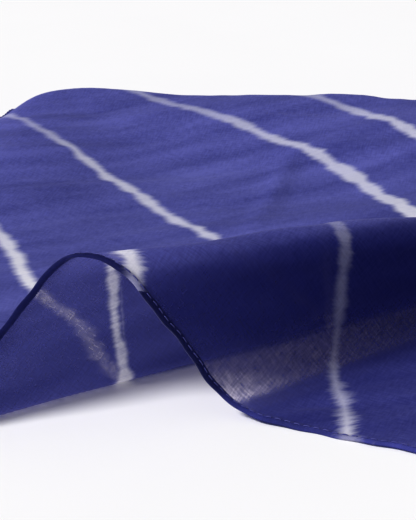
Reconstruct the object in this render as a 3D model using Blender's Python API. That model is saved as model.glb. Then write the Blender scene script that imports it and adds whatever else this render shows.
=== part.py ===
"""A shibori dyed cloth lying on a table: one thin hemmed sheet, folded once over itself in a standing S-fold."""

import math

import bmesh
import bpy
import numpy as np

# Sizes are in metres and angles in degrees. The sheet is first laid out flat on the table, as if it were never folded.
# Its near hem runs from NEAR_LEFT along HEM_DIR, INTO_DIR leads from that hem into the cloth, and ORIGIN is the middle
# of the folded cloth.
WIDTH = 0.380
DEPTH = 0.390
NEAR_LEFT = np.array((-0.1864, -0.1359))
HEM_TURN = math.radians(-14.9)
HEM_DIR = np.array((math.cos(HEM_TURN), math.sin(HEM_TURN)))
INTO_DIR = np.array((-HEM_DIR[1], HEM_DIR[0]))
ORIGIN = np.array((0.04735, 0.02379, 0.0))

THICKNESS = 0.0010
HEM_THICKNESS = 0.0018
HEM_WIDTH = 0.0045
HEM_EASE = 0.0008

# Every fold line runs through APEX, so the sheet bends without stretching. FOLD_FOOT is where the cloth leaves the table,
# FOLD_REACH is its distance from the apex, and the bends in FOLD are given at that distance.
FOLD_FOOT = np.array((-0.0294, -0.1150))
FOLD_TURN = math.radians(212.1)
FOLD_REACH = 0.530
FOLD_DIR = np.array((math.cos(FOLD_TURN), math.sin(FOLD_TURN)))
FRONT_DIR = np.array((-FOLD_DIR[1], FOLD_DIR[0]))
APEX = FOLD_FOOT - FOLD_REACH * FOLD_DIR

# The cross-section from the back of the fold to the front: name, length, turn upwards and number of flat steps.
FOLD = (
    ("foot", 0.0055, 86.6, 7),
    ("far leg", 0.0398, 0.0, 3),
    ("ridge", 0.0345, -160.0, 14),
    ("near leg", 0.0343, 0.0, 3),
    ("flare", 0.0232, 73.4, 8),
)
PATH_STEP = 0.00005

# Where the standing fold swells or sinks: share of its height, distance from the apex, and spread.
SWELLS = (
    (0.032, 0.455, 0.035),
    (-0.100, 0.375, 0.030),
)

# The back and left of the sheet stand off the table in one low roll. Each side of its crest is a straight line on the
# flat sheet, through CREST_CORNER and leaning by its turn, and the sheet slopes up to it and rolls down behind it.
CREST_HEIGHT = 0.016
CREST_CORNER = np.array((0.018, 0.346))
CREST_SIDE_TURN = math.radians(8.2)
CREST_BACK_TURN = math.radians(9.6)
CREST_ROUND = 0.016
CREST_FRONT = 0.110
CREST_BEHIND = 0.026
CREST_CUTS = (-0.026, -0.018, -0.010, -0.003, 0.006, 0.020, 0.045)

# Low ripples of the back sheet: height, wavelength, direction across the ripple and phase.
RIPPLES = (
    (0.0007, 0.064, 116.0, 20.0),
    (0.0004, 0.041, 104.0, 140.0),
)
RIPPLE_START = 0.050
RIPPLE_FULL = 0.110

GRID_STEP = 0.022
SNAP = 0.0006


def smooth(value, low, high):
    """Rises softly from 0 at low to 1 at high."""
    share = np.clip((value - low) / (high - low), 0.0, 1.0)
    return share * share * (3.0 - 2.0 * share)


def plan(along, into):
    """The place on the flat layout of a point given by its distances along and into the cloth."""
    return NEAR_LEFT + np.outer(along, HEM_DIR) + np.outer(into, INTO_DIR)


def fold_path():
    """Angle in the flat sheet and direction from the apex, for many points of the fold's cross-section."""
    heading, height, front = 0.0, 0.0, 0.0
    points = [(front, height)]
    for _, length, turn, _ in FOLD:
        steps = max(1, round(length / PATH_STEP))
        for _ in range(steps):
            heading += math.radians(turn) / steps
            middle = heading - math.radians(turn) / steps / 2
            front += math.cos(middle) * length / steps
            height += math.sin(middle) * length / steps
            points.append((front, height))
    points = np.array(points)
    points[:, 1] -= np.linspace(0.0, points[-1, 1], len(points))
    flat = FOLD_REACH * FOLD_DIR + np.outer(points[:, 0], FRONT_DIR)
    rays = np.column_stack((flat, points[:, 1]))
    rays /= np.linalg.norm(rays, axis=1)[:, None]
    steps = np.linalg.norm(np.diff(rays, axis=0), axis=1)
    return np.concatenate(([0.0], np.cumsum(steps))), rays


FOLD_ANGLES, FOLD_RAYS = fold_path()


def apex_angle(spots):
    """Distance from the apex, and angle in front of the line where the cloth leaves the table."""
    offset = spots - APEX
    return np.hypot(offset[:, 0], offset[:, 1]), np.arctan2(offset @ FRONT_DIR, offset @ FOLD_DIR)


def crest_lift(along, into):
    """Height of the raised back and left of the sheet, which rolls down to the table beyond its crest."""
    across, back = along - CREST_CORNER[0], CREST_CORNER[1] - into
    side_gap = across * math.cos(CREST_SIDE_TURN) + back * math.sin(CREST_SIDE_TURN)
    back_gap = across * math.sin(CREST_BACK_TURN) + back * math.cos(CREST_BACK_TURN)
    corner = np.hypot(np.minimum(side_gap - CREST_ROUND, 0.0), np.minimum(back_gap - CREST_ROUND, 0.0))
    nearest = np.minimum(side_gap, back_gap)
    inside = np.where(nearest > CREST_ROUND, nearest, CREST_ROUND - corner)
    front = 1.0 - smooth(inside, 0.0, CREST_FRONT)
    behind = 1.0 - smooth(-inside, 0.0, CREST_BEHIND)
    return CREST_HEIGHT * np.where(inside > 0.0, front, behind)


def back_lift(spots, along, into):
    """Height of the back sheet above the table."""
    offset = spots - FOLD_FOOT
    behind = -(offset @ FRONT_DIR)
    height = crest_lift(along, into) * smooth(into, 0.10, 0.26)
    strength = smooth(behind, RIPPLE_START, RIPPLE_FULL)
    for size, length, across, phase in RIPPLES:
        way = np.array((math.cos(math.radians(across)), math.sin(math.radians(across))))
        wave = np.sin(2.0 * math.pi * (spots @ way) / length + math.radians(phase))
        height = height + size * strength * (1.0 + wave)
    return height


def under_surface(along, into):
    """The underside of the sheet in space."""
    spots = plan(along, into)
    reach, angle = apex_angle(spots)
    rays = np.column_stack([np.interp(angle, FOLD_ANGLES, FOLD_RAYS[:, axis]) for axis in range(3)])
    last = math.atan2(FOLD_RAYS[-1, 1], FOLD_RAYS[-1, 0])
    beyond = last + (angle - FOLD_ANGLES[-1])
    laid = np.column_stack((np.cos(beyond), np.sin(beyond), np.zeros(len(angle))))
    rays = np.where((angle > FOLD_ANGLES[-1])[:, None], laid, rays)
    rays /= np.linalg.norm(rays, axis=1)[:, None]
    folded = rays * reach[:, None] + np.array((*APEX, 0.0))
    folded[:, 2] *= 1.0 + sum(share * np.exp(-((reach - place) / spread) ** 2) for share, place, spread in SWELLS)
    behind = np.column_stack((spots, back_lift(spots, along, into)))
    return np.where((angle < 0.0)[:, None], behind, folded) - ORIGIN


def outward(along, into, step=0.0002):
    """The direction from the underside through the sheet."""
    one = under_surface(along + step, into) - under_surface(along - step, into)
    two = under_surface(along, into + step) - under_surface(along, into - step)
    cross = np.cross(one, two)
    return cross / np.linalg.norm(cross, axis=1)[:, None]


def grid_lines(size):
    """Distances of the grid lines across the sheet, with the hem's lines at both sides."""
    hem = HEM_WIDTH + HEM_EASE
    count = round((size - 2.0 * hem) / GRID_STEP)
    middle = [hem + (size - 2.0 * hem) * k / count for k in range(count + 1)]
    return [0.0, HEM_WIDTH, *middle, size - HEM_WIDTH, size]


def flat_mesh():
    """The flat sheet, cut along its grid and along every line that the fold or the crest bends at."""
    columns, rows = grid_lines(WIDTH), grid_lines(DEPTH)
    mesh = bmesh.new()
    verts = [[mesh.verts.new((x, y, 0.0)) for x in columns] for y in rows]
    for j in range(len(rows) - 1):
        for i in range(len(columns) - 1):
            mesh.faces.new((verts[j][i], verts[j][i + 1], verts[j + 1][i + 1], verts[j + 1][i]))
    for start, across in fold_cuts() + crest_cuts():
        geometry = list(mesh.verts) + list(mesh.edges) + list(mesh.faces)
        bmesh.ops.bisect_plane(mesh, geom=geometry, dist=SNAP, plane_co=(*start, 0.0), plane_no=(*across, 0.0))
    bmesh.ops.triangulate(mesh, faces=list(mesh.faces))
    return mesh


def bend_angles():
    """Angles in front of the fold's foot at which the sheet changes direction."""
    total = sum(row[1] for row in FOLD)
    lengths = np.linspace(0.0, total, len(FOLD_ANGLES))
    done, angles = 0.0, []
    for _, length, _, steps in FOLD:
        spots = done + length * np.arange(steps) / steps
        angles.extend(np.interp(spots, lengths, FOLD_ANGLES))
        done += length
    angles.append(FOLD_ANGLES[-1])
    return angles


def fold_cuts():
    """A point on each bend line of the fold, and the direction across it, on the flat sheet."""
    offset = APEX - NEAR_LEFT
    start = (offset @ HEM_DIR, offset @ INTO_DIR)
    cuts = []
    for angle in bend_angles():
        ray = FOLD_DIR * math.cos(angle) + FRONT_DIR * math.sin(angle)
        cuts.append((start, (-(ray @ INTO_DIR), ray @ HEM_DIR)))
    return cuts


def crest_cuts():
    """The same for lines along both sides of the crest."""
    side = np.array((math.cos(CREST_SIDE_TURN), -math.sin(CREST_SIDE_TURN)))
    back = np.array((math.sin(CREST_BACK_TURN), -math.cos(CREST_BACK_TURN)))
    return [(CREST_CORNER + across * gap, across) for across in (side, back) for gap in CREST_CUTS]


def thickness(along, into):
    """Thickness of the sheet, more where it is turned over into the hem."""
    inside = np.minimum(np.minimum(along, WIDTH - along), np.minimum(into, DEPTH - into))
    return HEM_THICKNESS + (THICKNESS - HEM_THICKNESS) * smooth(inside, HEM_WIDTH, HEM_WIDTH + HEM_EASE)


def cloth_mesh():
    """Vertices and faces of the closed, folded sheet."""
    mesh = flat_mesh()
    mesh.verts.index_update()
    flat = np.array([v.co[:2] for v in mesh.verts])
    along, into = flat[:, 0], flat[:, 1]
    under = under_surface(along, into)
    over = under + outward(along, into) * thickness(along, into)[:, None]
    count = len(flat)
    faces = [tuple(v.index for v in f.verts) for f in mesh.faces]
    rims = [(loop.vert.index, loop.link_loop_next.vert.index)
            for f in mesh.faces for loop in f.loops if loop.edge.is_boundary]
    mesh.free()
    closed = [tuple(i + count for i in face) for face in faces]
    closed += [tuple(reversed(face)) for face in faces]
    closed += [(a, b, b + count, a + count) for a, b in rims]
    return np.vstack((under, over)), closed


def dyed_cotton():
    """Violet-blue dyed cotton voile."""
    material = bpy.data.materials.new("dyed_cotton")
    material.use_nodes = True
    surface = material.node_tree.nodes["Principled BSDF"]
    surface.inputs["Base Color"].default_value = (0.055, 0.052, 0.300, 1.0)
    surface.inputs["Roughness"].default_value = 0.85
    return material


def build():
    """Clears the scene and makes the cloth."""
    for thing in list(bpy.data.objects):
        bpy.data.objects.remove(thing)
    points, faces = cloth_mesh()
    mesh = bpy.data.meshes.new("cloth")
    mesh.from_pydata([tuple(p) for p in points], [], faces)
    mesh.update()
    cloth = bpy.data.objects.new("cloth", mesh)
    cloth.data.materials.append(dyed_cotton())
    bpy.context.scene.collection.objects.link(cloth)


build()
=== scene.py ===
"""Looks of the shibori dyed cloth: sheer violet-blue voile, pale resist stripes, a stitched hem and one fold."""

import math

import bpy
import numpy as np
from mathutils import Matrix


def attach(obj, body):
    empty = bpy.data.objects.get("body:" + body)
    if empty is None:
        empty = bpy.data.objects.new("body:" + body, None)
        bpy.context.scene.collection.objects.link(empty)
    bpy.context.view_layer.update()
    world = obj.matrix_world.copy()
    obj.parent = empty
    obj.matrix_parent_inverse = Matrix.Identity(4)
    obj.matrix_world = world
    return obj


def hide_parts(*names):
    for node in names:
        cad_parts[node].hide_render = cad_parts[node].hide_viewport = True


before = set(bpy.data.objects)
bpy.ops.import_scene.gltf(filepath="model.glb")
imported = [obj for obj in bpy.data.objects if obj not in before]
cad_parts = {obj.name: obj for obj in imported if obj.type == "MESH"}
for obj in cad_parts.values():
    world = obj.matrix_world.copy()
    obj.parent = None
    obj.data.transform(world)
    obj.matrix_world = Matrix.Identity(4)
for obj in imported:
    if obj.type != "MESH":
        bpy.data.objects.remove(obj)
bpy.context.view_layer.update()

# The flat sheet and its folds, in metres, as in the solid.
WIDTH = 0.380
DEPTH = 0.390
NEAR_LEFT = np.array((-0.1864, -0.1359))
HEM_TURN = math.radians(-14.9)
HEM_DIR = np.array((math.cos(HEM_TURN), math.sin(HEM_TURN)))
INTO_DIR = np.array((-HEM_DIR[1], HEM_DIR[0]))
ORIGIN = np.array((0.04735, 0.02379, 0.0))
FOLD_FOOT = np.array((-0.0294, -0.1150))
FOLD_TURN = math.radians(212.1)
FOLD_REACH = 0.530
FOLD_DIR = np.array((math.cos(FOLD_TURN), math.sin(FOLD_TURN)))
FRONT_DIR = np.array((-FOLD_DIR[1], FOLD_DIR[0]))
APEX = FOLD_FOOT - FOLD_REACH * FOLD_DIR
PATH_STEP = 0.00005

# The fold's cross-section: name, length and turn upwards.
FOLD = (
    ("foot", 0.0055, 86.6),
    ("far leg", 0.0398, 0.0),
    ("ridge", 0.0345, -160.0),
    ("near leg", 0.0343, 0.0),
    ("flare", 0.0232, 73.4),
)

# Where the standing fold swells or sinks: share of its height, distance from the apex, and spread.
SWELLS = (
    (0.032, 0.455, 0.035),
    (-0.100, 0.375, 0.030),
)

# The raised back and left of the sheet, and the depths into the cloth between which it grows to its full height.
CREST_HEIGHT = 0.016
CREST_GROWS = (0.10, 0.26)
CREST_CORNER = np.array((0.018, 0.346))
CREST_SIDE_TURN = math.radians(8.2)
CREST_BACK_TURN = math.radians(9.6)
CREST_ROUND = 0.016
CREST_FRONT = 0.110
CREST_BEHIND = 0.026

# Low ripples of the back sheet: height, wavelength, direction across the ripple and phase.
RIPPLES = (
    (0.0007, 0.064, 116.0, 20.0),
    (0.0004, 0.041, 104.0, 140.0),
)
RIPPLE_START = 0.050
RIPPLE_FULL = 0.110

# Soft wrinkles across the stripes: height, wavelength, direction across, phase and length of their bends.
# They sway by WRINKLE_SWAY radians along those bends.
WRINKLES = (
    (0.00110, 0.037, -44.0, 0.4, 0.210),
    (0.00060, 0.019, -56.0, 2.1, 0.130),
    (0.00030, 0.011, -41.0, 4.0, 0.090),
)
WRINKLE_SWAY = 1.3

# Creases placed on the flat sheet: along, into, heading, length, width and height.
CREASES = (
    (0.155, 0.262, 91.0, 0.090, 0.0055, 0.0016),
    (0.196, 0.318, 12.0, 0.080, 0.0080, 0.0014),
    (0.298, 0.027, 24.0, 0.055, 0.0026, -0.0010),
    (0.276, 0.012, 44.0, 0.030, 0.0026, 0.0006),
    (0.335, 0.045, 12.0, 0.060, 0.0030, 0.0010),
    (0.222, 0.047, 47.0, 0.075, 0.0020, 0.0006),
    (0.236, 0.054, 45.0, 0.050, 0.0020, 0.0005),
)

# Thickness of the sheet at distances from its edge, where it is turned over into the hem.
HEM_PROFILE = (
    (0.0000, 0.00045),
    (0.0004, 0.00095),
    (0.0011, 0.00115),
    (0.0018, 0.00110),
    (0.0022, 0.00095),
    (0.0025, 0.00065),
    (0.0028, 0.00035),
)
HEM_WIDTH = 0.0025
SHEET_STEP = 0.0019
TABLE_GAP = 0.00005

# The sewn edges waver in their own plane, and this fades with the distance from an edge.
# The waves that make it up: share, wavelength and phase.
EDGE_WAVES = (
    (1.0, 0.031, 0.7),
    (0.6, 0.013, 2.0),
)
EDGE_WAVER = 0.00032
EDGE_FADE = 0.008

# The stitches, and the shape of one: shares of its length, and height of the thread there in thread radii.
STITCH_PITCH = 0.0034
STITCH_LENGTH = 0.0024
STITCH_RADIUS = 0.00022
STITCH_INSET = 0.0016
STITCH_SIDES = 6
STITCH_SHARES = np.array((0.0, 0.12, 0.35, 0.65, 0.88, 1.0))
STITCH_RISE = np.array((-0.6, 0.5, 1.0, 1.0, 0.5, -0.6))

# The resist stripes lie along STRIPE_TURN on the flat sheet. The spans are the ranges of the charts below.
STRIPE_TURN = math.radians(-48.0)
RUN_SPAN = (-0.300, 0.300)
SHIFT_SPAN = 0.100
HALF_SPAN = (-0.002, 0.008)

# One chart a stripe: run, place across, half width and fringe in millimetres, and how clear of dye it is; that
# last value is lowered where the fourth stripe crosses the fold's near leg, which is painted shade.
STRIPES = (
    (
        (-90, 66, 2.0, 0.6, 0.7),
        (0, 70, 2.4, 0.8, 0.9),
        (90, 64, 2.0, 0.8, 0.8),
    ),
    (
        (-120, 154, 2.4, 0.6, 0.8),
        (-80, 156, 2.8, 0.6, 0.9),
        (-40, 150, 2.8, 0.6, 1.0),
        (0, 153, 2.8, 0.8, 1.0),
        (40, 148, 2.8, 0.8, 1.0),
        (60, 148, 2.4, 0.8, 1.0),
        (85, 146, 1.4, 0.6, 1.0),
        (120, 147, 2.8, 2.2, 1.0),
        (135, 146, 2.4, 1.0, 0.9),
    ),
    (
        (60, 150, -1.6, 0.2, 0.6),
        (80, 149, 0.0, 0.3, 0.6),
        (100, 149, -1.6, 0.2, 0.6),
    ),
    (
        (-300, 190, 2.2, 0.6, 0.5),
        (-200, 212, 2.4, 0.6, 0.5),
        (-150, 224, 2.6, 0.6, 0.8),
        (-90, 234, 2.8, 0.6, 0.8),
        (-10, 242, 2.8, 0.8, 0.8),
        (50, 238, 2.4, 0.8, 0.7),
        # The lower clearness of these two rows is painted shade on the near leg.
        (120, 233, 2.0, 1.0, 0.4),
        (150, 232, 1.4, 1.6, 0.5),
        (195, 220, 3.0, 2.8, 0.9),
    ),
    (
        (-300, 262, 2.2, 0.6, 0.5),
        (-200, 290, 3.2, 0.6, 0.5),
        (-150, 314, 3.4, 0.6, 0.7),
        (-70, 334, 4.2, 0.8, 0.8),
        (-30, 332, 4.0, 0.8, 0.9),
        (60, 328, 2.4, 1.2, 0.8),
        (140, 318, 2.4, 1.6, 0.8),
    ),
    (
        (-300, 330, 2.2, 0.6, 0.5),
        (-170, 358, 2.8, 0.6, 0.5),
        (-140, 372, 3.4, 0.6, 0.7),
        (-100, 382, 3.4, 0.6, 0.8),
        (0, 396, 2.6, 0.8, 0.8),
        (90, 402, 2.2, 1.0, 0.8),
    ),
    (
        (-120, 462, 2.3, 0.6, 0.7),
        (-40, 474, 2.6, 0.8, 0.9),
        (40, 470, 2.3, 0.8, 0.8),
    ),
)

# The stripes' waver, the width of their crisp edges, what blur adds to it, and the reach of the frayed tips.
STRIPE_WAVER = 0.0024
STRIPE_EDGE = 0.0010
STRIPE_SOFTER = 0.0014
TIP_REACH = 1.5

# What the noises become: low and high noise, and the values there where they aren't 0 and 1.
SWELL_RANGE = (0.32, 0.68, 0.72, 1.28)
SPIKE_RANGE = (0.34, 0.74)
THREAD_RANGE = (0.28, 0.56)

# How clear of dye a stripe stays where dyed threads cross it: at crisp edges, and what blur adds to it.
CROSSED_SHARE = 0.70
CROSSED_SOFTER = 0.25

# How blurred the edges of the stripes are: run in millimetres, and share from 0 (crisp) to 1 (soft).
STRIPE_BLUR = (
    (-300, 1.0),
    (0, 0.8),
    (50, 0.4),
    (60, 0.1),
    (110, 0.2),
    (120, 0.6),
    (150, 0.3),
    (165, 0.9),
    (300, 1.0),
)

# The painted shade of the standing fold, the deep dye of the chart below, lies askew to the stripes: its shift
# with the distance across them.
SKEW = 0.28
SKEW_FROM = 0.159

# How far the dye has faded, partly painted light and shade: skewed run along the stripes in millimetres, and share
# from 0 (deep) to 1 (faded).
# The deep end on the fold's near leg is painted shade, and the lighter band at the ridge's rim is painted light;
# it is also darker on the flap than on the back sheet.
FADING_SHADE_AND_LIGHT = (
    (-300, 0.78),
    (-20, 0.72),
    (30, 0.58),
    (85, 0.42),
    (105, 0.56),
    (120, 0.60),
    (125, 0.40),
    (131, 0.11),
    (140, 0.04),
    (165, 0.05),
    (178, 0.28),
    (215, 0.42),
    (300, 0.52),
)
# The same for the hem, mostly painted shade and light: darkest where it crosses the standing fold, and lighter
# along the lit front hem.
HEM_FADING_SHADE_AND_LIGHT = (
    (-300, 0.50),
    (0, 0.20),
    (100, 0.10),
    (160, 0.03),
    (174, 0.30),
    (190, 0.60),
    (240, 0.78),
    (300, 0.85),
)

# How strongly the dye lies in streaks across the stripes, and how strongly single threads show in the deepest dye.
STREAKINESS = 1.3
THREADINESS = 0.30

# The deep colours of the dye and of the hem are also painted shade on the fold's near leg and the hem along it,
# and their faded colours also paint the light on the ridge's rim and the front hem.
DEEP_DYE_AND_SHADE = (0.008, 0.014, 0.190)
FADED_DYE_AND_LIGHT = (0.272, 0.285, 0.690)
GLOW_DYED = (0.240, 0.260, 0.610)
GLOW_PALE = (1.000, 0.990, 1.000)
RESIST_PALE = (0.950, 0.950, 0.980)
HEM_DEEP_AND_SHADE = (0.006, 0.008, 0.060)
HEM_FADED_AND_LIGHT = (0.130, 0.140, 0.480)
HEM_PALE = (0.360, 0.360, 0.540)
THREAD_DARK = (0.045, 0.048, 0.200)
THREAD_LIGHT = (0.110, 0.112, 0.360)
TABLE_DARK = (0.850, 0.850, 0.850)
TABLE_LIGHT = (0.870, 0.870, 0.870)
GAP_TINT = (1.0, 0.965, 0.975)
SHEEN_TINT = (0.72, 0.72, 0.95)
SEE_THROUGH = 0.45
LET_THROUGH = 0.44
BODY_SHEEN = 0.45
HEM_SHEEN = 0.3

# Grain of each noise, in repeats a metre: the first four along and across the stripes,
# the others along the cloth's or the table's own directions.
DRIFT_GRAIN = (110.0, 30.0, 1.0)
SWELL_GRAIN = (150.0, 20.0, 1.0)
STRAND_GRAIN = (700.0, 70.0, 1.0)
STREAK_GRAIN = (85.0, 13.0, 1.0)
WARP_GRAIN = (1250.0, 190.0, 1.0)
WEFT_GRAIN = (190.0, 1250.0, 1.0)
TWIST_GRAIN = (2600.0, 2600.0, 1.0)
TABLE_GRAIN = (9.0, 9.0, 9.0)

# How open the weave is: skewed run along the stripes in millimetres, and share of the usual openness.
# The chart holds it as a share of OPEN_TOP.
OPEN_TOP = 2.0
OPENNESS = (
    (-300, 0.50),
    (10, 0.52),
    (50, 1.00),
    (100, 1.00),
    (118, 0.80),
    (150, 0.85),
    (163, 1.45),
    (300, 1.45),
)
# Share of the openness left at OPEN_TO from the near hem.
OPEN_TO = 0.090
OPEN_SHARE = 0.62
# Share of the openness left where the sheet is no higher than LIES_TO: run in millimetres, and share.
# It grows from there to the full openness at HANGS_FROM.
LIES_SHARE = (
    (-300, 0.35),
    (50, 0.35),
    (56, 1.00),
    (110, 1.00),
    (140, 0.35),
    (300, 0.35),
)
LIES_TO = 0.0032
HANGS_FROM = 0.0060
# Gaps between loose and between close threads, by the relief of the weave, and share of them left in the stripes.
GAP_RELIEF = (0.32, 0.68)
GAPS_LOOSE = 1.4
GAPS_CLOSE = 0.6
GAPS_IN_STRIPES = 0.5

# The way the window light travels, its height above the table, and how far it spreads.
LIGHT_TURN = math.radians(23.0)
LIGHT_HEIGHT = math.radians(44.0)
LIGHT_SPREAD = math.radians(16.0)
LIGHT_ENERGY = 3.95
LIGHT_COLOUR = (1.0, 0.985, 0.97)
ROOM_COLOUR = (0.90, 0.92, 1.0, 1.0)
ROOM_STRENGTH = 0.30
VIEW_GAMMA = 0.72
TABLE_HALF = 6.0

CAMERA_PLACE = (0.0, -0.6398, 0.2585)
CAMERA_PITCH = math.radians(22.0)
CAMERA_LENS = 113.6
CAMERA_SENSOR = 36.0


def smooth(value, low, high):
    """Rises softly from 0 at low to 1 at high."""
    share = np.clip((value - low) / (high - low), 0.0, 1.0)
    return share * share * (3.0 - 2.0 * share)


def plan(along, into):
    """The place on the flat layout of a point given by its distances along and into the cloth."""
    return NEAR_LEFT + np.outer(along, HEM_DIR) + np.outer(into, INTO_DIR)


def fold_path():
    """Angle in the flat sheet and direction from the apex, for many points of the fold's cross-section."""
    heading, height, front = 0.0, 0.0, 0.0
    points = [(front, height)]
    for _, length, turn in FOLD:
        steps = max(1, round(length / PATH_STEP))
        for _ in range(steps):
            heading += math.radians(turn) / steps
            middle = heading - math.radians(turn) / steps / 2
            front += math.cos(middle) * length / steps
            height += math.sin(middle) * length / steps
            points.append((front, height))
    points = np.array(points)
    points[:, 1] -= np.linspace(0.0, points[-1, 1], len(points))
    flat = FOLD_REACH * FOLD_DIR + np.outer(points[:, 0], FRONT_DIR)
    rays = np.column_stack((flat, points[:, 1]))
    rays /= np.linalg.norm(rays, axis=1)[:, None]
    steps = np.linalg.norm(np.diff(rays, axis=0), axis=1)
    return np.concatenate(([0.0], np.cumsum(steps))), rays


FOLD_ANGLES, FOLD_RAYS = fold_path()


def crest_lift(along, into):
    """Height of the raised back and left of the sheet, which rolls down to the table beyond its crest."""
    across, back = along - CREST_CORNER[0], CREST_CORNER[1] - into
    side_gap = across * math.cos(CREST_SIDE_TURN) + back * math.sin(CREST_SIDE_TURN)
    back_gap = across * math.sin(CREST_BACK_TURN) + back * math.cos(CREST_BACK_TURN)
    corner = np.hypot(np.minimum(side_gap - CREST_ROUND, 0.0), np.minimum(back_gap - CREST_ROUND, 0.0))
    side_in = np.maximum(side_gap - CREST_ROUND, 1e-6)
    back_in = np.maximum(back_gap - CREST_ROUND, 1e-6)
    blended = (side_in ** -4.0 + back_in ** -4.0) ** -0.25
    past_round = np.minimum(side_gap, back_gap) > CREST_ROUND
    inside = np.where(past_round, CREST_ROUND + blended, CREST_ROUND - corner)
    front = 1.0 - smooth(inside, 0.0, CREST_FRONT)
    behind = 1.0 - smooth(-inside, 0.0, CREST_BEHIND)
    return CREST_HEIGHT * np.where(inside > 0.0, front, behind)


def back_lift(spots, along, into):
    """Height of the back sheet above the table."""
    behind = -((spots - FOLD_FOOT) @ FRONT_DIR)
    height = crest_lift(along, into) * smooth(into, *CREST_GROWS)
    strength = smooth(behind, RIPPLE_START, RIPPLE_FULL)
    for size, length, across, phase in RIPPLES:
        way = np.array((math.cos(math.radians(across)), math.sin(math.radians(across))))
        wave = np.sin(2.0 * math.pi * (spots @ way) / length + math.radians(phase))
        height = height + size * strength * (1.0 + wave)
    return height


def under_surface(along, into):
    """The underside of the sheet in space, before its fine wrinkles."""
    spots = plan(along, into)
    offset = spots - APEX
    reach = np.hypot(offset[:, 0], offset[:, 1])
    angle = np.arctan2(offset @ FRONT_DIR, offset @ FOLD_DIR)
    rays = np.column_stack([np.interp(angle, FOLD_ANGLES, FOLD_RAYS[:, axis]) for axis in range(3)])
    beyond = math.atan2(FOLD_RAYS[-1, 1], FOLD_RAYS[-1, 0]) + (angle - FOLD_ANGLES[-1])
    laid = np.column_stack((np.cos(beyond), np.sin(beyond), np.zeros(len(angle))))
    rays = np.where((angle > FOLD_ANGLES[-1])[:, None], laid, rays)
    rays /= np.linalg.norm(rays, axis=1)[:, None]
    folded = rays * reach[:, None] + np.array((*APEX, 0.0))
    swell = sum(share * np.exp(-((reach - place) / spread) ** 2) for share, place, spread in SWELLS)
    folded[:, 2] *= 1.0 + swell
    behind = np.column_stack((spots, back_lift(spots, along, into)))
    return np.where((angle < 0.0)[:, None], behind, folded) - ORIGIN


def outward(along, into, step=0.0004):
    """The direction from the underside through the sheet."""
    one = under_surface(along + step, into) - under_surface(along - step, into)
    two = under_surface(along, into + step) - under_surface(along, into - step)
    cross = np.cross(one, two)
    return cross / np.linalg.norm(cross, axis=1)[:, None]


def wrinkle_lift(along, into):
    """Height of the fine wrinkles and creases above the smooth sheet."""
    lift = np.zeros(len(along))
    for height, length, across, phase, bend in WRINKLES:
        turn = math.radians(across)
        over = along * math.cos(turn) + into * math.sin(turn)
        side = into * math.cos(turn) - along * math.sin(turn)
        sway = WRINKLE_SWAY * np.sin(2.0 * math.pi * side / bend + 2.0 * phase)
        strength = 0.6 + 0.4 * np.sin(2.0 * math.pi * side / (1.7 * bend) + phase)
        lift += height * strength * (0.5 + 0.5 * np.sin(2.0 * math.pi * over / length + phase + sway))
    for start, depth, heading, length, width, height in CREASES:
        turn = math.radians(heading)
        run = (along - start) * math.cos(turn) + (into - depth) * math.sin(turn)
        side = (into - depth) * math.cos(turn) - (along - start) * math.sin(turn)
        lift += height * np.exp(-((side / width) ** 2) - (run / (0.5 * length)) ** 4)
    return np.maximum(lift, 0.0)


def edge_waver(along):
    """How far the sewn edge wavers in its own plane."""
    waves = [share * np.sin(2.0 * math.pi * along / length + phase) for share, length, phase in EDGE_WAVES]
    return EDGE_WAVER * sum(waves)


def sheet_points(along, into, over):
    """Points at the height over above the sheet's underside, with its wrinkles and its wavering hem."""
    near = np.exp(-into / EDGE_FADE) - np.exp(-(DEPTH - into) / EDGE_FADE)
    place = into + edge_waver(along) * near
    normal = outward(along, place)
    return under_surface(along, place) + normal * (wrinkle_lift(along, into) + over)[:, None]


def sheet_lines(size):
    """Grid lines across the sheet, closer over the hems."""
    edge = [row[0] for row in HEM_PROFILE]
    inner = edge[-1]
    count = round((size - 2.0 * inner) / SHEET_STEP)
    middle = [inner + (size - 2.0 * inner) * k / count for k in range(1, count)]
    return np.array(edge + middle + [size - v for v in reversed(edge)])


def edge_distance(along, into):
    """Distance to the nearest edge of the flat sheet."""
    return np.minimum(np.minimum(along, WIDTH - along), np.minimum(into, DEPTH - into))


def thickness(distance):
    """Thickness of the sheet at a distance from its nearest edge."""
    return np.interp(distance, [row[0] for row in HEM_PROFILE], [row[1] for row in HEM_PROFILE])


def new_piece(name, points, faces, materials):
    """A mesh object that rides on the cloth."""
    mesh = bpy.data.meshes.new(name)
    mesh.from_pydata([tuple(p) for p in points], [], faces)
    for material in materials:
        mesh.materials.append(material)
    mesh.polygons.foreach_set("use_smooth", [True] * len(mesh.polygons))
    piece = bpy.data.objects.new(name, mesh)
    bpy.context.scene.collection.objects.link(piece)
    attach(piece, "root")
    return piece


def store_flat_place(mesh, along, into):
    """Keeps each point's place on the flat cloth and its height at rest, for the weave and the stripes."""
    store = mesh.attributes.new("flat_place", "FLOAT_VECTOR", "POINT")
    height = under_surface(along, into)[:, 2]
    flat = np.column_stack((along, into, height))
    store.data.foreach_set("vector", flat.astype(np.float32).ravel())


def sheet_faces(wide, high):
    """Quads of one face of the sheet, and the walls that join its two faces around the rim."""
    count = wide * high
    first = (np.arange(high - 1)[:, None] * wide + np.arange(wide - 1)[None, :]).ravel()
    quads = np.column_stack((first, first + 1, first + 1 + wide, first + wide))
    rim = list(range(wide)) + [wide * k + wide - 1 for k in range(1, high)]
    rim += [wide * (high - 1) + k for k in range(wide - 2, -1, -1)] + [wide * k for k in range(high - 2, 0, -1)]
    walls = [(a, b, b + count, a + count) for a, b in zip(rim, rim[1:] + rim[:1])]
    return quads, walls


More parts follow.
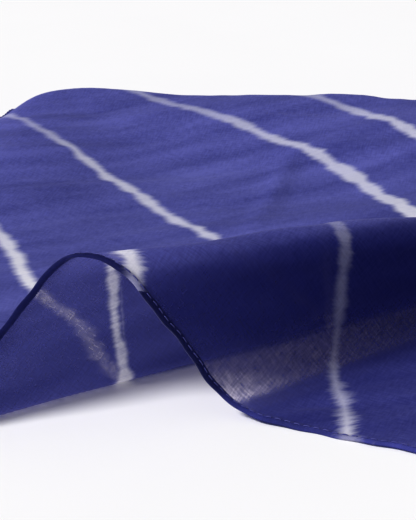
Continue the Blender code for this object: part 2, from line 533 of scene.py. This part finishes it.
def make_sheet(body, hem):
    """The closed sheet with its thicker hem."""
    columns, rows = sheet_lines(WIDTH), sheet_lines(DEPTH)
    grid_along, grid_into = np.meshgrid(columns, rows)
    along, into = grid_along.ravel(), grid_into.ravel()
    distance = edge_distance(along, into)
    under = sheet_points(along, into, np.full(len(along), TABLE_GAP))
    over = sheet_points(along, into, TABLE_GAP + thickness(distance))
    quads, walls = sheet_faces(len(columns), len(rows))
    faces = (quads + len(along)).tolist() + quads[:, ::-1].tolist() + walls
    sheet = new_piece("cloth_sheet", np.vstack((under, over)), faces, (body, hem))
    store_flat_place(sheet.data, np.tile(along, 2), np.tile(into, 2))
    middle = distance[quads].mean(axis=1)
    hemmed = (middle < HEM_WIDTH).astype(int)
    slots = np.concatenate((hemmed, hemmed, np.ones(len(walls), int)))
    sheet.data.polygons.foreach_set("material_index", slots)
    sheet.data.update()
    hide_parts("cloth")
    return sheet


def seam_lines():
    """Start, direction and length of each line of stitches, on the flat sheet."""
    inset = STITCH_INSET
    return (
        ((inset, inset), (1.0, 0.0), WIDTH - 2.0 * inset),
        ((inset, DEPTH - inset), (1.0, 0.0), WIDTH - 2.0 * inset),
        ((inset, inset), (0.0, 1.0), DEPTH - 2.0 * inset),
        ((WIDTH - inset, inset), (0.0, 1.0), DEPTH - 2.0 * inset),
    )


def stitch_spots():
    """Flat places along every stitch, and the direction of its seam."""
    rows = []
    for (start_along, start_into), way, length in seam_lines():
        for k in range(1, int(length / STITCH_PITCH)):
            run = k * STITCH_PITCH + (STITCH_SHARES - 0.5) * STITCH_LENGTH
            rows.append((start_along + run * way[0], start_into + run * way[1], way))
    return rows


def stitch_faces(rings):
    """Faces that join rings of points into closed stitches."""
    per_stitch = len(STITCH_SHARES)
    faces = []
    for ring in range(rings):
        base = ring * STITCH_SIDES
        if ring % per_stitch == 0:
            faces.append(tuple(base + k for k in reversed(range(STITCH_SIDES))))
        if ring % per_stitch == per_stitch - 1:
            faces.append(tuple(base + k for k in range(STITCH_SIDES)))
            continue
        for k in range(STITCH_SIDES):
            nxt = (k + 1) % STITCH_SIDES
            faces.append((base + k, base + nxt, base + STITCH_SIDES + nxt, base + STITCH_SIDES + k))
    return faces


def make_stitches(thread):
    """The stitches that hold the hem, on its upper face."""
    turns = 2.0 * math.pi * np.arange(STITCH_SIDES) / STITCH_SIDES
    across = STITCH_RADIUS * np.cos(turns)
    flat_along, flat_into, raised = [], [], []
    for along, into, way in stitch_spots():
        for share, rise in enumerate(STITCH_RISE):
            flat_along.append(along[share] + across * way[1])
            flat_into.append(into[share] + across * way[0])
            raised.append(STITCH_RADIUS * (np.sin(turns) + rise))
    along, into, lift = np.concatenate(flat_along), np.concatenate(flat_into), np.concatenate(raised)
    thick = thickness(edge_distance(along, into))
    points = sheet_points(along, into, TABLE_GAP + thick + lift)
    faces = stitch_faces(len(points) // STITCH_SIDES)
    stitches = new_piece("hem_stitching", points, faces, (thread,))
    store_flat_place(stitches.data, along, into)
    return stitches


class Graph:
    """Short calls for building one material's nodes."""

    def __init__(self, name):
        self.material = bpy.data.materials.new(name)
        self.material.use_nodes = True
        self.tree = self.material.node_tree
        self.tree.nodes.clear()

    def node(self, kind, **values):
        """A new node with these settings."""
        made = self.tree.nodes.new(kind)
        for name, value in values.items():
            setattr(made, name, value)
        return made

    def feed(self, socket, value):
        """Links a socket to an output, or sets its value."""
        if isinstance(value, bpy.types.NodeSocket):
            self.tree.links.new(value, socket)
        else:
            socket.default_value = value

    def math(self, operation, *values, clamp=False):
        """The result of one operation on outputs or numbers."""
        made = self.node("ShaderNodeMath", operation=operation, use_clamp=clamp)
        for socket, value in zip(made.inputs, values):
            self.feed(socket, value)
        return made.outputs[0]

    def blend(self, share, first, second):
        """Two colours, with the given share of the second."""
        made = self.node("ShaderNodeMix", data_type="RGBA")
        self.feed(made.inputs["Factor"], share)
        for socket, value in ((made.inputs["A"], first), (made.inputs["B"], second)):
            self.feed(socket, value if isinstance(value, bpy.types.NodeSocket) else (*value, 1.0))
        return made.outputs["Result"]

    def split(self, vector):
        """The three parts of a vector."""
        made = self.node("ShaderNodeSeparateXYZ")
        self.feed(made.inputs[0], vector)
        return made.outputs[0], made.outputs[1], made.outputs[2]

    def ramp(self, value, low, high, start=0.0, end=1.0, soft=True):
        """Runs from start, where the value is low, to end, where it is high."""
        made = self.node("ShaderNodeMapRange", interpolation_type="SMOOTHSTEP" if soft else "LINEAR")
        for socket, given in zip(made.inputs, (value, low, high, start, end)):
            self.feed(socket, given)
        return made.outputs["Result"]

    def noise(self, place, scales, detail=2.0):
        """Noise whose grain is 1 / scales metres long in each direction of the flat cloth."""
        stretch = self.node("ShaderNodeVectorMath", operation="MULTIPLY")
        self.feed(stretch.inputs[0], place)
        self.feed(stretch.inputs[1], scales)
        made = self.node("ShaderNodeTexNoise")
        made.inputs["Scale"].default_value = 1.0
        made.inputs["Detail"].default_value = detail
        self.feed(made.inputs["Vector"], stretch.outputs[0])
        return made.outputs["Fac"]

    def chart(self, value, spots):
        """A smooth curve through spots, each from 0 to 1."""
        made = self.node("ShaderNodeFloatCurve")
        curve = made.mapping.curves[0]
        curve.points[0].location = spots[0]
        curve.points[1].location = spots[-1]
        for spot in spots[1:-1]:
            curve.points.new(*spot)
        made.mapping.update()
        self.feed(made.inputs["Value"], value)
        return made.outputs[0]

    def mix(self, share, first, second):
        """Two shaders, with the given share of the second."""
        made = self.node("ShaderNodeMixShader")
        for socket, value in zip(made.inputs, (share, first, second)):
            self.feed(socket, value)
        return made.outputs[0]

    def finish(self, shader):
        """The material with this shader on its surface."""
        output = self.node("ShaderNodeOutputMaterial")
        self.feed(output.inputs["Surface"], shader)
        return self.material


def stripe_frame(graph, place):
    """A place on the flat cloth as its run along the stripes and its distance across them."""
    turned = graph.node("ShaderNodeVectorRotate", rotation_type="Z_AXIS")
    graph.feed(turned.inputs["Vector"], place)
    graph.feed(turned.inputs["Angle"], -STRIPE_TURN)
    return turned.outputs[0]


def run_spots(rows, share=1.0):
    """Chart spots from rows of a run in millimetres and a value."""
    return [(run_share(row[0]), row[1] * share) for row in rows]


def stripe_amount(graph, turned):
    """How far the dye was kept out, from 0 in the dyed ground to 1 inside a stripe."""
    run, across, _ = graph.split(turned)
    chart_run = graph.ramp(run, *RUN_SPAN, soft=False)
    drift = graph.noise(turned, DRIFT_GRAIN, 3.0)
    waver = graph.math("MULTIPLY", graph.math("SUBTRACT", drift, 0.5), STRIPE_WAVER)
    swell = graph.ramp(graph.noise(turned, SWELL_GRAIN, 2.0), *SWELL_RANGE)
    strands = graph.noise(turned, STRAND_GRAIN, 4.0)
    spikes = graph.ramp(strands, *SPIKE_RANGE)
    blur = graph.chart(chart_run, run_spots(STRIPE_BLUR))
    across = graph.math("ADD", across, waver)
    amount = 0.0
    for rows in STRIPES:
        inside = stripe_inside(graph, chart_run, across, rows, swell, spikes, blur)
        amount = graph.math("MAXIMUM", inside, amount)
    return graph.math("MULTIPLY", amount, crossed_share(graph, strands, blur))


def crossed_share(graph, strands, blur):
    """How clear of dye a stripe stays where dyed threads cross it."""
    least = graph.math("MULTIPLY_ADD", blur, CROSSED_SOFTER, CROSSED_SHARE)
    clear = graph.ramp(strands, *THREAD_RANGE)
    return graph.math("MULTIPLY_ADD", clear, graph.math("SUBTRACT", 1.0, least), least)


def stripe_inside(graph, chart_run, across, rows, swell, spikes, blur):
    """How clear of dye one stripe is, soft at its edges."""
    least, most = HALF_SPAN
    middle = sum(row[1] for row in rows) / len(rows) / 1000.0
    spots = [(run_share(row[0]), row) for row in rows]
    shift = graph.chart(chart_run, [(x, (row[1] / 1000.0 - middle) / SHIFT_SPAN + 0.5) for x, row in spots])
    half = graph.chart(chart_run, [(x, (row[2] / 1000.0 - least) / (most - least)) for x, row in spots])
    fringe = graph.chart(chart_run, [(x, row[3] / 1000.0 / (most - least)) for x, row in spots])
    clear = graph.chart(chart_run, [(x, row[4]) for x, row in spots])
    centre = graph.math("MULTIPLY_ADD", graph.math("SUBTRACT", shift, 0.5), SHIFT_SPAN, middle)
    gap = graph.math("ABSOLUTE", graph.math("SUBTRACT", across, centre))
    core = graph.math("MULTIPLY_ADD", half, most - least, least)
    tips = graph.math("MULTIPLY_ADD", graph.math("MULTIPLY", fringe, spikes), TIP_REACH * (most - least), core)
    edge = graph.math("MULTIPLY_ADD", blur, STRIPE_SOFTER, STRIPE_EDGE)
    inner = graph.math("SUBTRACT", graph.math("MULTIPLY", core, swell), edge)
    outer = graph.math("ADD", graph.math("MULTIPLY", tips, swell), edge)
    return graph.math("MULTIPLY", graph.ramp(gap, outer, inner), clear)


def run_share(run):
    """A run in millimetres as its share of the charts' range."""
    return (run / 1000.0 - RUN_SPAN[0]) / (RUN_SPAN[1] - RUN_SPAN[0])


def skewed_run(graph, turned):
    """The run along the stripes as a share of the charts' range, shifted with the distance across them."""
    run, across, _ = graph.split(turned)
    shift = graph.math("MULTIPLY", graph.math("SUBTRACT", across, SKEW_FROM), SKEW)
    return graph.ramp(graph.math("ADD", run, shift), *RUN_SPAN, soft=False)


def dyed_ground(graph, turned, relief, deep_and_shade, faded_and_light, fading_shade_and_light):
    """Colour of the dye, which fades slowly along the stripes and lies in streaks across them, with the fold's
    painted shade and light laid into it.
    """
    level = graph.chart(skewed_run(graph, turned), run_spots(fading_shade_and_light))
    streaks = graph.noise(turned, STREAK_GRAIN, 3.0)
    uneven = graph.math("MULTIPLY_ADD", graph.math("SUBTRACT", streaks, 0.5), STREAKINESS, 1.0)
    grain = graph.math("MULTIPLY", graph.math("SUBTRACT", relief, 0.5), graph.math("ADD", level, THREADINESS))
    return graph.blend(graph.math("MULTIPLY_ADD", level, uneven, grain, clamp=True), deep_and_shade, faded_and_light)


def thread_relief(graph, place):
    """Height of the plain weave and of the thicker threads that run through it."""
    warp = graph.noise(place, WARP_GRAIN, 2.0)
    weft = graph.noise(place, WEFT_GRAIN, 2.0)
    return graph.math("MULTIPLY", graph.math("ADD", warp, weft), 0.5)


def openness(graph, place, turned):
    """How far the gaps in the weave show what is behind the sheet."""
    _, into, height = graph.split(place)
    run, _, _ = graph.split(turned)
    by_run = graph.chart(skewed_run(graph, turned), run_spots(OPENNESS, 1.0 / OPEN_TOP))
    lying = graph.chart(graph.ramp(run, *RUN_SPAN, soft=False), run_spots(LIES_SHARE))
    by_height = graph.ramp(height, LIES_TO, HANGS_FROM, graph.math("MULTIPLY", lying, OPEN_TOP), OPEN_TOP)
    by_place = graph.ramp(into, 0.0, OPEN_TO, 1.0, OPEN_SHARE, soft=False)
    return graph.math("MULTIPLY", graph.math("MULTIPLY", by_run, by_height), by_place)


def matt_threads(graph, colour, relief, sheen):
    """The lit face of the threads, rough with the relief of the weave."""
    surface = graph.node("ShaderNodeBsdfPrincipled")
    graph.feed(surface.inputs["Base Color"], colour)
    surface.inputs["Roughness"].default_value = 0.8
    surface.inputs["Specular IOR Level"].default_value = 0.25
    surface.inputs["Sheen Weight"].default_value = sheen
    surface.inputs["Sheen Roughness"].default_value = 0.35
    surface.inputs["Sheen Tint"].default_value = (*SHEEN_TINT, 1.0)
    bump = graph.node("ShaderNodeBump")
    bump.inputs["Strength"].default_value = 0.35
    bump.inputs["Distance"].default_value = 0.0003
    graph.feed(bump.inputs["Height"], relief)
    graph.feed(surface.inputs["Normal"], bump.outputs[0])
    return surface.outputs[0]


def open_gaps(graph, relief, amount, density, see_through):
    """The share of open gaps in the sheet, which are fewer where the dye was kept out, and their shader."""
    gaps = graph.node("ShaderNodeBsdfTransparent")
    graph.feed(gaps.inputs["Color"], (*GAP_TINT, 1.0))
    density = graph.math("MULTIPLY", density, graph.ramp(amount, 0.0, 1.0, 1.0, GAPS_IN_STRIPES, soft=False))
    loose, close = see_through * GAPS_LOOSE, see_through * GAPS_CLOSE
    by_relief = graph.ramp(relief, *GAP_RELIEF, loose, close, soft=False)
    return graph.math("MULTIPLY", by_relief, density), gaps.outputs[0]


def voile(name, deep_and_shade, faded_and_light, pale, fading_shade_and_light, see_through, sheen):
    """Dyed cotton: matt threads that let some light through, with open gaps between them."""
    graph = Graph(name)
    place = graph.node("ShaderNodeAttribute", attribute_name="flat_place").outputs["Vector"]
    relief = thread_relief(graph, place)
    turned = stripe_frame(graph, place)
    amount = stripe_amount(graph, turned)
    colour = graph.blend(amount, dyed_ground(graph, turned, relief, deep_and_shade, faded_and_light, fading_shade_and_light), pale)
    through = graph.node("ShaderNodeBsdfTranslucent")
    graph.feed(through.inputs["Color"], graph.blend(amount, GLOW_DYED, GLOW_PALE))
    shader = graph.mix(LET_THROUGH, matt_threads(graph, colour, relief, sheen), through.outputs[0])
    if see_through:
        share, gaps = open_gaps(graph, relief, amount, openness(graph, place, turned), see_through)
        shader = graph.mix(share, shader, gaps)
    return graph.finish(shader)


def sewing_thread():
    """Twisted navy thread, a little lighter than the hem."""
    graph = Graph("sewing_thread")
    place = graph.node("ShaderNodeAttribute", attribute_name="flat_place").outputs["Vector"]
    twist = graph.noise(place, TWIST_GRAIN, 1.0)
    surface = graph.node("ShaderNodeBsdfPrincipled")
    graph.feed(surface.inputs["Base Color"], graph.blend(twist, THREAD_DARK, THREAD_LIGHT))
    surface.inputs["Roughness"].default_value = 0.6
    return graph.finish(surface.outputs[0])


def table_white():
    """Matt white table top with a very faint unevenness."""
    graph = Graph("table_white")
    place = graph.node("ShaderNodeTexCoord").outputs["Object"]
    cloudy = graph.noise(place, TABLE_GRAIN, 3.0)
    surface = graph.node("ShaderNodeBsdfPrincipled")
    graph.feed(surface.inputs["Base Color"], graph.blend(cloudy, TABLE_DARK, TABLE_LIGHT))
    surface.inputs["Roughness"].default_value = 0.9
    surface.inputs["Specular IOR Level"].default_value = 0.1
    return graph.finish(surface.outputs[0])


def make_window():
    """The soft light of a distant window on the left."""
    sun = bpy.data.lights.new("window", "SUN")
    sun.energy = LIGHT_ENERGY
    sun.angle = LIGHT_SPREAD
    sun.color = LIGHT_COLOUR
    lamp = bpy.data.objects.new("window", sun)
    lamp.rotation_euler = (0.0, LIGHT_HEIGHT - math.radians(90.0), LIGHT_TURN)
    bpy.context.scene.collection.objects.link(lamp)


def make_table():
    """The white table top."""
    mesh = bpy.data.meshes.new("table")
    half = TABLE_HALF
    corners = [(-half, -half, 0.0), (half, -half, 0.0), (half, half, 0.0), (-half, half, 0.0)]
    mesh.from_pydata(corners, [], [(0, 1, 2, 3)])
    mesh.materials.append(table_white())
    table = bpy.data.objects.new("table", mesh)
    bpy.context.scene.collection.objects.link(table)


def make_room():
    """The pale room that lights the cloth from all sides."""
    world = bpy.data.worlds.new("room")
    bpy.context.scene.world = world
    world.use_nodes = True
    backdrop = world.node_tree.nodes["Background"]
    backdrop.inputs["Color"].default_value = ROOM_COLOUR
    backdrop.inputs["Strength"].default_value = ROOM_STRENGTH


def make_camera():
    """The camera at the photograph's height, angle and lens."""
    data = bpy.data.cameras.new("camera")
    data.lens = CAMERA_LENS
    data.sensor_width = CAMERA_SENSOR
    data.clip_start = 0.01
    camera = bpy.data.objects.new("camera", data)
    camera.location = np.array(CAMERA_PLACE) - ORIGIN
    camera.rotation_euler = (math.radians(90.0) - CAMERA_PITCH, 0.0, 0.0)
    bpy.context.scene.collection.objects.link(camera)
    bpy.context.scene.camera = camera


def build():
    """Makes every piece of the scene."""
    make_camera()
    make_table()
    make_window()
    make_room()
    body = voile("voile", DEEP_DYE_AND_SHADE, FADED_DYE_AND_LIGHT, RESIST_PALE, FADING_SHADE_AND_LIGHT, SEE_THROUGH, BODY_SHEEN)
    hem = voile("voile_hem", HEM_DEEP_AND_SHADE, HEM_FADED_AND_LIGHT, HEM_PALE, HEM_FADING_SHADE_AND_LIGHT, 0.0, HEM_SHEEN)
    sheet = make_sheet(body, hem)
    stitches = make_stitches(sewing_thread())
    bpy.context.scene.view_settings.view_transform = "Standard"
    bpy.context.scene.view_settings.gamma = VIEW_GAMMA


build()
